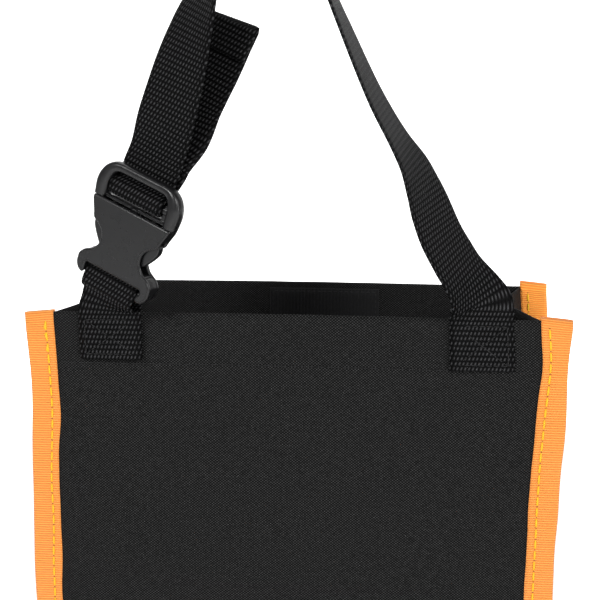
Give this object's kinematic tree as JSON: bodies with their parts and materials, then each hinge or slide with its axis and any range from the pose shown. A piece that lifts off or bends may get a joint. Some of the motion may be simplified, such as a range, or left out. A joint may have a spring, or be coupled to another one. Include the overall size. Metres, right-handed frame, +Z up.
{
  "type": "garden tool bag",
  "caption": "Open gusseted cloth bag for garden hand tools, with taped seams, a hook-and-loop mouth and a carrying strap of webbing that parts at a side-release buckle.",
  "frame": {"origin": "middle of the front binding's bottom edge, on the ground the bag stands on", "axes": "+X towards the bag's right as seen from the front, +Y from the front panel to the back panel, +Z up"},
  "size_m": [0.2188, 0.1281, 0.4769],
  "materials": {
    "cloth": "black coated oxford cloth, fine basket weave",
    "binding_tape": "orange ribbed grosgrain tape, stitched",
    "webbing": "black polypropylene webbing, coarse weave, slight sheen",
    "buckle_plastic": "satin black acetal",
    "hook_tape": "black hook tape",
    "loop_tape": "black loop tape",
    "board": "matt polyethylene board"
  },
  "bodies": {
    "bag": {"front_panel": "cloth", "front_hem": "cloth", "binding_front": "binding_tape", "gusset_left": "cloth", "gusset_right": "cloth", "base_panel": "cloth", "base_board": "board", "hook_patch": "hook_tape", "right_tab": "webbing", "left_tab": "webbing"},
    "back": {"back_panel": "cloth", "back_hem": "cloth", "binding_back": "binding_tape", "loop_patch": "loop_tape"},
    "strap": {"strap": "webbing", "right_tab_bend": "webbing", "strap_load": "webbing"},
    "male": {"buckle_male": "buckle_plastic", "strap_turn": "webbing", "strap_tail": "webbing", "tail_fold": "webbing"},
    "female": {"buckle_female": "buckle_plastic", "left_tab_loop": "webbing"},
    "prong_l": {"prong_left": "buckle_plastic"},
    "prong_r": {"prong_right": "buckle_plastic"}
  },
  "joints": [
    {"name": "mouth_close", "type": "hinge", "parent": "bag", "child": "back", "pos_m": [0, 0.0896, 0.0117], "axis": [1, 0, 0], "range_deg": [0, 16], "deforming": ["gusset_left", "gusset_right"]},
    {"name": "strap_fold", "type": "hinge", "parent": "bag", "child": "strap", "pos_m": [0, -0.00135, 0.3131], "axis": [1, 0, 0], "range_deg": [-60, 70], "deforming": ["right_tab_bend"]},
    {"name": "tab_fold", "type": "hinge", "parent": "bag", "child": "female", "pos_m": [0, -0.00135, 0.3131], "axis": [1, 0, 0], "range_deg": [-60, 70], "deforming": ["left_tab_loop"]},
    {"name": "buckle_release", "type": "slide", "parent": "strap", "child": "male", "axis": [0.3296, -0.1882, 0.9252], "range_m": [0, 0.022], "deforming": ["strap_load", "prong_left", "prong_right"]},
    {"name": "prong_left_press", "type": "hinge", "parent": "male", "child": "prong_l", "pos_m": [-0.06947, -0.0081, 0.35803], "axis": [-0.3796, -0.9237, -0.0527], "range_deg": [0, 11], "stiffness_Nm_per_rad": 0.5},
    {"name": "prong_right_press", "type": "hinge", "parent": "male", "child": "prong_r", "pos_m": [-0.0527, -0.01457, 0.35073], "axis": [0.3796, 0.9237, 0.0527], "range_deg": [0, 11], "stiffness_Nm_per_rad": 0.5}
  ],
  "couplings": [
    {"joint": "tab_fold", "follows": "strap_fold", "ratio": 1}
  ]
}
